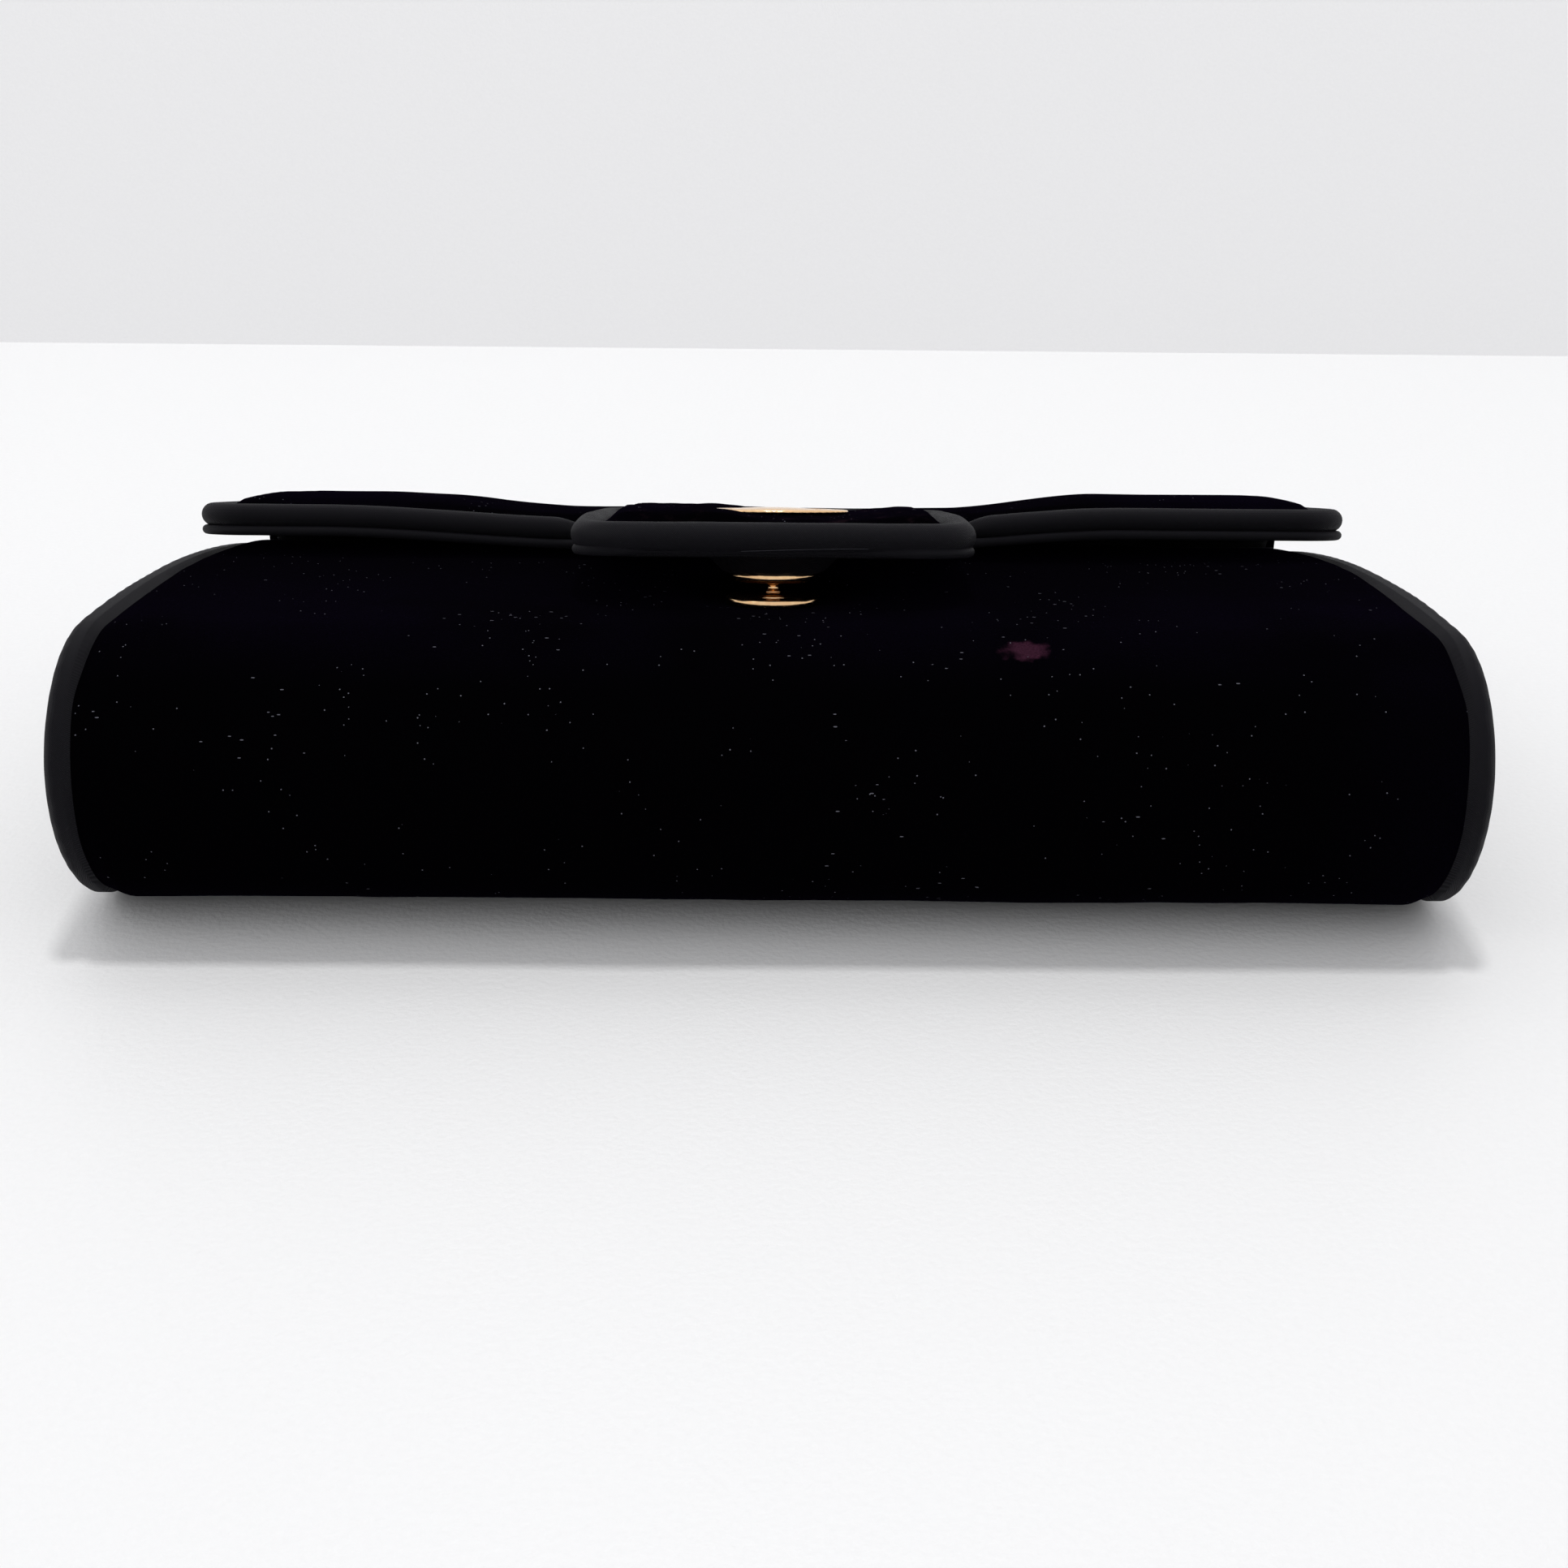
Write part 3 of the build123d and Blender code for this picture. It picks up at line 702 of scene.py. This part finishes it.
BEAD_R = 0.001
UNDERSIDE = -0.007
side_x, edge, end, tab_x = FLAP_HALF - BEAD_R, FLAP_END - BEAD_R, TAB_END - BEAD_R, TAB_HALF - BEAD_R
corners = [(side_x, 0.003), (side_x, edge), (tab_x, edge), (tab_x, end)]
corners = corners + [(-x, y) for x, y in reversed(corners)]
bends = [FLAP_CORNER - BEAD_R, 0.003, TAB_CORNER - BEAD_R]
plan = rounded_path(corners, bends + bends[::-1], 0.0008)
line = []
for p in plan:
    back = 0.0011 * ease((p.y - FLAP_END - 0.03) / 0.01) * ease((0.031 - abs(p.x + 0.003)) / 0.012)
    line.append(bowed(p.x, p.y - back, UNDERSIDE + BEAD_R + back * 0.3))
bead = tube("flap_bead_satin", line, roll_radius(BEAD_R, line, 31.0), satin, 14)
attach(bead, "flap")
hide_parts("flap_bead")

thread = Finish("loose_fibre", Roughness=0.9, Specular_IOR_Level=0.1)
worn = thread.noise(thread.place(), 900.0, 2.0)
thread.feed("Base Color", thread.blend(worn, (0.02, 0.02, 0.025, 1), (0.06, 0.06, 0.07, 1)))
line = [on_flap(x, TAB_END - 0.0003, -0.0056 + 0.0004 * math.sin(x * 90))
        for x in np.linspace(-0.006, 0.0175, 60)]
fibre = tube("loose_fibre", line, [0.00005] * 60, thread, 8)
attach(fibre, "flap")

low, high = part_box("front_binding")
middle = (low + high) / 2
line = [Vector((x, middle.y, middle.z)) for x in np.linspace(low.x + 0.0005, high.x - 0.0005, 200)]
binding = tube("mouth_binding", line, roll_radius(0.0012, line, 41.0), satin, 20)
for vertex in binding.data.vertices:
    vertex.co.z = middle.z + (vertex.co.z - middle.z) * (high.z - low.z) / 2 / 0.0012
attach(binding, "body")
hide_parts("front_binding")


# ---- Velvet of the flap and the folds ----
# The flap's velvet runs from the back panel over the top strip and down the flap without a cut.
# Here it meets itself half way up the strip, so that each half can follow its own fold.

FOLD_R = 0.0060
STRIP_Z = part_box("strip_velvet")[1].z * 0.55
STRIP_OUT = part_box("strip_velvet")[1].y
STRIP_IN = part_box("strip_lining")[0].y
FLAP_PAD = 0.0061
STRIP_PAD = 0.0033


class Bend:
    """A line in the side view with a length along it: a straight, a rounded corner, a straight."""

    def __init__(self, start, corner, end, radius):
        start, corner, end = Vector(start), Vector(corner), Vector(end)
        first = corner + (start - corner).normalized() * radius
        last = corner + (end - corner).normalized() * radius
        round_part = [first * (1 - t) ** 2 + corner * 2 * t * (1 - t) + last * t * t
                      for t in np.linspace(0, 1, 24)]
        self.points = np.array([start] + round_part + [end])
        self.along = np.concatenate([[0], np.cumsum(np.hypot(*np.diff(self.points, axis=0).T))])
        self.long = float(self.along[-1])

    def at(self, a):
        y, z = np.interp(a, self.along, self.points[:, 0]), np.interp(a, self.along, self.points[:, 1])
        first = np.clip(a - 0.0004, 0, self.long - 0.0008)
        last = first + 0.0008
        y2 = np.interp(last, self.along, self.points[:, 0]) - np.interp(first, self.along, self.points[:, 0])
        z2 = np.interp(last, self.along, self.points[:, 1]) - np.interp(first, self.along, self.points[:, 1])
        size = np.hypot(y2, z2)
        return y, z, z2 / size, -y2 / size


def rounded_box(x, y, cx, cy, hx, hy, r):
    """Distance outside a rounded rectangle, below zero inside it."""
    dx, dy = np.abs(x - cx) - hx + r, np.abs(y - cy) - hy + r
    return np.hypot(np.maximum(dx, 0), np.maximum(dy, 0)) + np.minimum(np.maximum(dx, dy), 0) - r


def panel(name, shape, reach, step, place, top_at, low_at, finish):
    """Padded panel cut to a shape: a fine grid with its edge drawn on to the outline, closed underneath."""
    x0, x1, a0, a1 = reach
    xs = np.linspace(x0 - step, x1 + step, round((x1 - x0) / step) + 3)
    rows = np.linspace(a0 - step, a1 + step, round((a1 - a0) / step) + 3)
    x, a = np.meshgrid(xs, rows)
    d = shape(x, a)
    nudge = step * 0.01
    gx = (shape(x + nudge, a) - d) / nudge
    ga = (shape(x, a + nudge) - d) / nudge
    size = np.maximum(np.hypot(gx, ga), 1e-9)
    near = (d > -0.5 * step) & (d < 1.6 * step)
    x = np.where(near, x - d * gx / size, x)
    a = np.where(near, a - d * ga / size, a)
    inner = d <= -0.5 * step
    d = np.where(near, 0.0, d)
    index = np.arange(x.size).reshape(x.shape)
    corners = np.stack([index[:-1, :-1], index[:-1, 1:], index[1:, 1:], index[1:, :-1]], -1).reshape(-1, 4)
    keep = inner.ravel()[corners].any(1)
    corners = corners[keep]
    used = np.unique(corners)
    renumber = np.full(x.size, -1)
    renumber[used] = np.arange(len(used))
    corners = renumber[corners]
    x, a, d = x.ravel()[used], a.ravel()[used], -d.ravel()[used]
    top_n, low_n = top_at(x, a, d), low_at(x, a, d)
    verts = [place(*v) for v in zip(x, a, top_n)] + [place(*v) for v in zip(x, a, low_n)]
    total = len(used)
    faces = [tuple(c) for c in corners] + [tuple(c[::-1] + total) for c in corners]
    seen = {}
    for c in corners:
        for p, q in zip(c, np.roll(c, -1)):
            seen[(min(p, q), max(p, q))] = None if (min(p, q), max(p, q)) in seen else (p, q)
    for pair in seen.values():
        if pair:
            p, q = pair
            faces.append((q, p, p + total, q + total))
    uvs = np.stack([np.concatenate([x, x]), np.concatenate([a, a])], 1)
    return make_piece(name, verts, faces, uvs, finish)


over_fold = Bend((STRIP_OUT, STRIP_Z), (HINGE.y, HINGE.z),
                 (HINGE.y - 0.15 * math.cos(FLAP_SLOPE), HINGE.z + 0.15 * math.sin(FLAP_SLOPE)), FOLD_R)
FLAP_ZERO = over_fold.long - 0.15
strip_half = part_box("strip_velvet")[1].x


def over_fold_place(x, a, n):
    y, z, ny, nz = over_fold.at(a)
    n += bow(x, a - FLAP_ZERO)
    return (x, y + ny * n, z + nz * n)


def flap_velvet_shape(x, a):
    """Strip and flap in one cut: a little wider on the strip, rounded at the flap's two corners."""
    end = FLAP_ZERO + PANEL_LONG
    widen = (strip_half - (FLAP_HALF - 2 * ROLL_R)) * (1 - ease((a - FLAP_ZERO + 0.004) / 0.008))
    half = FLAP_HALF - 2 * ROLL_R + 0.0004
    return rounded_box(x, a, 0, end / 2 - 0.05, half, end / 2 + 0.05, 0.0072) - widen


def smooth_noise(x, a, size, seed):
    return np.array([ripple(p, q, 0.0, size, seed) for p, q in zip(x, a)])


def under_tab(x, a, grow):
    """Share of the way under the tab, from 0 outside its outline to 1 inside."""
    inside = -rounded_box(x, a, 0, FLAP_ZERO + TAB_MIDDLE, TAB_HALF, TAB_LONG, TAB_CORNER)
    return ease((inside + grow) / grow)


def flap_top(x, a, d):
    on = ease((a - FLAP_ZERO - 0.002) / 0.008)
    edge = ease(1 - d / 0.005)
    sides = np.where(a > FLAP_ZERO + 0.004, 1.0, 0.35)
    crown = (0.0004 + 0.0015 * ease((np.abs(x) - 0.045) / 0.03)) * ease(d / 0.013) * on
    waves = 0.0004 * smooth_noise(x, a, 0.04, 9.0) + 0.00012 * smooth_noise(x, a, 0.012, 2.0)
    return crown + waves * ease(d / 0.01) - 0.0019 * edge * sides - 0.0022 * under_tab(x, a, 0.0035)


def flap_low(x, a, d):
    on = ease((a - FLAP_ZERO + 0.001) / 0.005)
    return -(STRIP_PAD + (FLAP_PAD - STRIP_PAD) * on)


flap_velvet = panel("flap_velvet_cloth", flap_velvet_shape,
                    (-strip_half, strip_half, 0, FLAP_ZERO + PANEL_LONG), 0.0013,
                    over_fold_place, flap_top, flap_low, velvet)
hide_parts("flap_velvet", "flap_wadding", "flap_board")
tuple(on_flap(0, 0.008, 0))
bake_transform(flap_velvet)

round_back = Bend((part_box("velvet_wrap")[1].y - 0.0042, 0.0), (STRIP_OUT, 0.0), (STRIP_OUT, STRIP_Z), FOLD_R)


def round_back_place(x, a, n):
    y, z, ny, nz = round_back.at(a)
    return (x, y + ny * n, z + nz * n)


def back_top(x, a, d):
    side = ease(1 - (strip_half - np.abs(x)) / 0.004)
    return -0.0007 * side + 0 * a


def back_low(x, a, d):
    return -np.interp(a, [0, 0.0045, 0.008, 1], [BAG_PAD, BAG_PAD, STRIP_PAD, STRIP_PAD])


def back_fold_shape(x, a):
    return rounded_box(x, a, 0, round_back.long / 2, strip_half, round_back.long / 2, 0.0001)


back_fold = panel("back_fold_velvet", back_fold_shape, (-strip_half, strip_half, 0, round_back.long), 0.0013,
                  round_back_place, back_top, back_low, velvet)
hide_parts("strip_velvet", "strip_wadding", "strip_board")
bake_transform(back_fold)


# ---- Lining of the flap and the folds ----
# One satin lining backs flap and tab, and goes on across the inside of the strip to the back.
# Under the tab a felt patch fills it out round the snap.

SNAP_S, SNAP_N = flap_middle("snap_plate")
flap_face = HINGE + OUT_OF_FLAP * UNDERSIDE
reach_in = (STRIP_IN - flap_face.y) / DOWN_FLAP.y
inner_corner = (STRIP_IN, flap_face.z + DOWN_FLAP.z * reach_in)
under_fold = Bend((STRIP_IN, STRIP_Z), inner_corner,
                  (inner_corner[0] + DOWN_FLAP.y * 0.15, inner_corner[1] + DOWN_FLAP.z * 0.15), 0.0025)
UNDER_ZERO = under_fold.long - 0.15 - reach_in
SNAP_BULGE = 0.0035


def under_fold_place(x, a, n):
    y, z, ny, nz = under_fold.at(a)
    n += bow(x, a - UNDER_ZERO) * (1.0 if abs(x) > 0.08 else ease((a - UNDER_ZERO - 0.035) / 0.03))
    return (x, y + ny * n, z + nz * n)


def flap_lining_shape(x, a):
    flap = rounded_box(x, a, 0, (UNDER_ZERO + FLAP_END) / 2 - 0.05, FLAP_HALF - 0.0016,
                       (UNDER_ZERO + FLAP_END) / 2 + 0.05 - 0.0016, FLAP_CORNER - 0.0016)
    tongue = rounded_box(x, a, 0, UNDER_ZERO + TAB_MIDDLE, TAB_HALF - 0.0016, TAB_LONG - 0.0016,
                         TAB_CORNER - 0.0016)
    return np.minimum(flap, tongue)


def lining_out(x, a, d):
    far = np.hypot(x, a - UNDER_ZERO - SNAP_S)
    hill = SNAP_BULGE * (1 - ease((far - 0.0086) / 0.0050)) * ease(d / 0.003)
    slack = 0.0002 * smooth_noise(x, a, 0.016, 6.0) * ease(d / 0.006)
    return -hill + np.abs(slack) * ease((far - 0.010) / 0.01)


def lining_in(x, a, d):
    return lining_out(x, a, d) + 0.0007


flap_lining = panel("flap_lining_cloth", flap_lining_shape,
                    (-FLAP_HALF, FLAP_HALF, 0, UNDER_ZERO + TAB_END), 0.0014,
                    under_fold_place, lining_in, lining_out, lining)
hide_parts("flap_lining", "snap_patch")
UNDER_ZERO + TAB_END
2 * FLAP_HALF * (UNDER_ZERO + FLAP_END) + 2 * TAB_HALF * (TAB_END - FLAP_END)
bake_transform(flap_lining)

inner_back = Bend((STRIP_IN - 0.008, WALL_T), (STRIP_IN, WALL_T), (STRIP_IN, STRIP_Z), 0.002)


def inner_back_place(x, a, n):
    y, z, ny, nz = inner_back.at(a)
    return (x, y + ny * n, z + nz * n)


def strip_lining_shape(x, a):
    return rounded_box(x, a, 0, inner_back.long / 2, BAG_HALF - 0.0025, inner_back.long / 2, 0.0001)


strip_lining = panel("strip_lining_cloth", strip_lining_shape,
                     (-BAG_HALF, BAG_HALF, 0, inner_back.long), 0.0016, inner_back_place,
                     lambda x, a, d: 0.0003 + 0 * a, lambda x, a, d: -0.0003 + 0 * a, lining)
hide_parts("strip_lining")
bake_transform(strip_lining)


# ---- Tab ----
# A velvet inlay is padded up inside the tab's satin roll. It has been handled, so it stands up at
# its two ends and sags in between, and a warm violet-brown sheen is painted on its pile in patches.

INLAY_EDGE = -0.0012
PILE_WARM_SHEEN = (0.012, 0.006, 0.008, 1)


def inlay_top(x, a, d):
    rise = ease(d / 0.0045)
    ends = 0.0014 * ease((0.001 - x) / 0.014) + 0.0012 * ease((x - 0.012) / 0.016)
    rumple = 0.00035 * smooth_noise(x * 0.6, a * 1.8, 0.010, 15.0) + 0.00018 * smooth_noise(x, a, 0.004, 18.0)
    ridge = 0.0005 * np.exp(-((a - TAB_END + 0.0105 + 0.0015 * np.sin(x * 260)) / 0.0014) ** 2)
    hold = 1 - ease(1 - (np.hypot(x / 1.4, a - ORNAMENT_S) - 0.009) / 0.004)
    return INLAY_EDGE + (0.0003 - INLAY_EDGE + (ends + rumple + ridge) * (0.25 + 0.75 * hold)) * rise


ORNAMENT_S = flap_middle("ornament_plate")[0]
tab_velvet_finish = velvet_finish("tab_velvet")
# Painted sheen: patches of warm violet-brown light are laid over the tab's pile colour.
warm_sheen_noise = tab_velvet_finish.noise(tab_velvet_finish.place(), 240.0, 3.0)
ridge_light = tab_velvet_finish.ramp(warm_sheen_noise, 0.55, 0.8)
pile_colour = Wire(tab_velvet_finish, tab_velvet_finish.shader.inputs["Base Color"].links[0].from_socket)
tab_velvet_finish.feed("Base Color", tab_velvet_finish.blend(ridge_light * 0.5, pile_colour, PILE_WARM_SHEEN))
def inlay_shape(x, a):
    inside_roll = 2 * TAB_ROLL_R - 0.0006
    return rounded_box(x, a, 0, TAB_MIDDLE, TAB_HALF - inside_roll, TAB_LONG - inside_roll,
                       TAB_CORNER - 2 * TAB_ROLL_R)


inlay = panel("tab_velvet_cloth", inlay_shape, (-TAB_HALF, TAB_HALF, TAB_MIDDLE - TAB_LONG, TAB_END), 0.0009,
              lambda x, a, n: tuple(on_tab(x, a, n)), inlay_top, lambda x, a, d: -0.0060 + 0 * a,
              tab_velvet_finish)
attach(inlay, "flap")
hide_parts("tab_velvet", "tab_wadding", "tab_board")


# ---- Gold snap and ornament ----
# Stamped brass, gold plated and polished. The snap's plate and cup have a stepped rim, and a plain
# oval medallion with a beaded rim and a low dome is fixed to the tab.

GOLD = (1.0, 0.72, 0.42, 1)
GOLD_DEEP = (0.86, 0.50, 0.24, 1)
gold = Finish("gold", Metallic=1.0)
tone = gold.noise(gold.place(), 900.0, 3.0)
gold.feed("Base Color", gold.blend(tone, GOLD, GOLD_DEEP))
gold.feed("Roughness", 0.08 + tone * 0.14)
gold.feed("Normal", gold.bump(tone, 0.0001, 0.25))


def turned(name, profile, place, finish, oval=1.0, sides=96, scallop=0.0):
    """Piece spun from a profile of (radius, height) about its own axis, closed at both ends."""
    verts, uvs, faces = [], [], []
    for k, (radius, height) in enumerate(profile):
        for m in range(sides):
            turn = math.tau * m / sides
            wave = 1 + scallop * (k in (3, 4)) * (0.5 + 0.5 * math.cos(turn * 48))
            out = radius * wave
            verts.append(place @ Vector((out * math.cos(turn), out * math.sin(turn) * oval, height)))
            uvs.append((radius * math.cos(turn), radius * math.sin(turn)))
    for k in range(len(profile) - 1):
        for m in range(sides):
            n = (m + 1) % sides
            faces.append((k * sides + m, k * sides + n, (k + 1) * sides + n, (k + 1) * sides + m))
    faces.append(tuple(reversed(range(sides))))
    faces.append(tuple((len(profile) - 1) * sides + m for m in range(sides)))
    return make_piece(name, verts, faces, uvs, finish)


flap_frame = Matrix((Vector((1, 0, 0)), -DOWN_FLAP, OUT_OF_FLAP)).transposed().to_4x4()
plate_middle = on_flap(0, SNAP_S, SNAP_N)
plate_frame = Matrix.Translation(plate_middle) @ flap_frame
MM = 0.001
PLATE_PROFILE = [(7.9, 0.85), (8.12, 0.75), (8.2, 0.6), (8.2, -0.35), (8.05, -0.5), (7.35, -0.51),
                 (7.3, -0.8), (7.0, -0.85), (2.6, -0.85)]
plate = turned("snap_plate_gold", [(r * MM, h * MM) for r, h in PLATE_PROFILE], plate_frame, gold)
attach(plate, "flap")
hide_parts("snap_plate")
stud_s, stud_n = flap_middle("snap_stud")
stud_frame = Matrix.Translation(on_flap(0, stud_s, stud_n)) @ flap_frame
STUD_PROFILE = [(1.9, 1.3), (1.85, 0.95), (1.25, 0.7), (1.12, 0.2), (1.12, -0.4), (1.5, -0.65),
                (1.55, -0.95), (1.1, -1.15)]
stud = turned("snap_stud_gold", [(r * MM, h * MM) for r, h in STUD_PROFILE], stud_frame, gold, sides=48)
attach(stud, "flap")
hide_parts("snap_stud")

cup_frame = Matrix.Translation(CUP_MIDDLE) @ Matrix.Rotation(-CUP_LEAN, 4, "X")
CUP_PROFILE = [(8.6, -1.2), (8.9, -0.9), (8.9, -0.3), (9.0, -0.15), (9.0, 0.95), (8.8, 1.2), (8.4, 1.15),
               (8.0, 0.85), (4.2, 0.80), (3.4, 1.0), (2.7, 0.9), (2.6, 0.4), (2.6, -0.7), (0.4, -0.72)]
cup = turned("snap_cup_gold", [(r * MM, h * MM) for r, h in CUP_PROFILE], cup_frame, gold)
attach(cup, "body")
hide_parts("snap_cup", "snap_magnet")

ORNAMENT_N = 0.0009
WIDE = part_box("ornament_plate")[1].x
NARROW = 0.7
ornament_frame = Matrix.Translation(on_flap(0, ORNAMENT_S, ORNAMENT_N)) @ flap_frame
MEDALLION_PROFILE = [(0.95, -0.5), (1.0, -0.35), (1.0, 0.05), (0.985, 0.22), (0.95, 0.30), (0.91, 0.22),
                     (0.88, 0.08), (0.84, 0.08), (0.81, 0.32), (0.78, 0.42), (0.74, 0.38), (0.71, 0.20),
                     (0.63, 0.20), (0.55, 0.38), (0.42, 0.58), (0.26, 0.70), (0.1, 0.75), (0.02, 0.76)]
ornament = turned("ornament_gold", [(r * WIDE, h * MM) for r, h in MEDALLION_PROFILE], ornament_frame, gold,
                  NARROW, 192, 0.012)
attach(ornament, "flap")
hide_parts("ornament_plate", "ornament_dome", "ornament_prongs")


# ---- Pieces that stay as they are ----
# Boards, washers and prongs are sealed inside, and show only where the bag is opened or cut.

card = Finish("black_board", Roughness=0.9)
speckle = card.noise(card.place(), 700.0, 4.0)
card.feed("Base Color", card.blend(speckle, (0.010, 0.010, 0.011, 1), (0.022, 0.022, 0.024, 1)))
card.feed("Normal", card.bump(speckle, 0.0002, 0.4))
steel = Finish("plated_steel", Metallic=1.0)
brushed = steel.noise(steel.place(), 1500.0, 2.0)
steel.feed("Base Color", steel.blend(brushed, (0.55, 0.55, 0.53, 1), (0.70, 0.70, 0.68, 1)))
steel.feed("Roughness", 0.25 + brushed * 0.2)
for name, kept in frame["nodes"].items():
    if "board" in name:
        kept.data.materials.clear()
        kept.data.materials.append(card.material)
    elif "prongs" in name or "washer" in name:
        kept.data.materials.clear()
        kept.data.materials.append(steel.material)

low, high = CAD_BOX
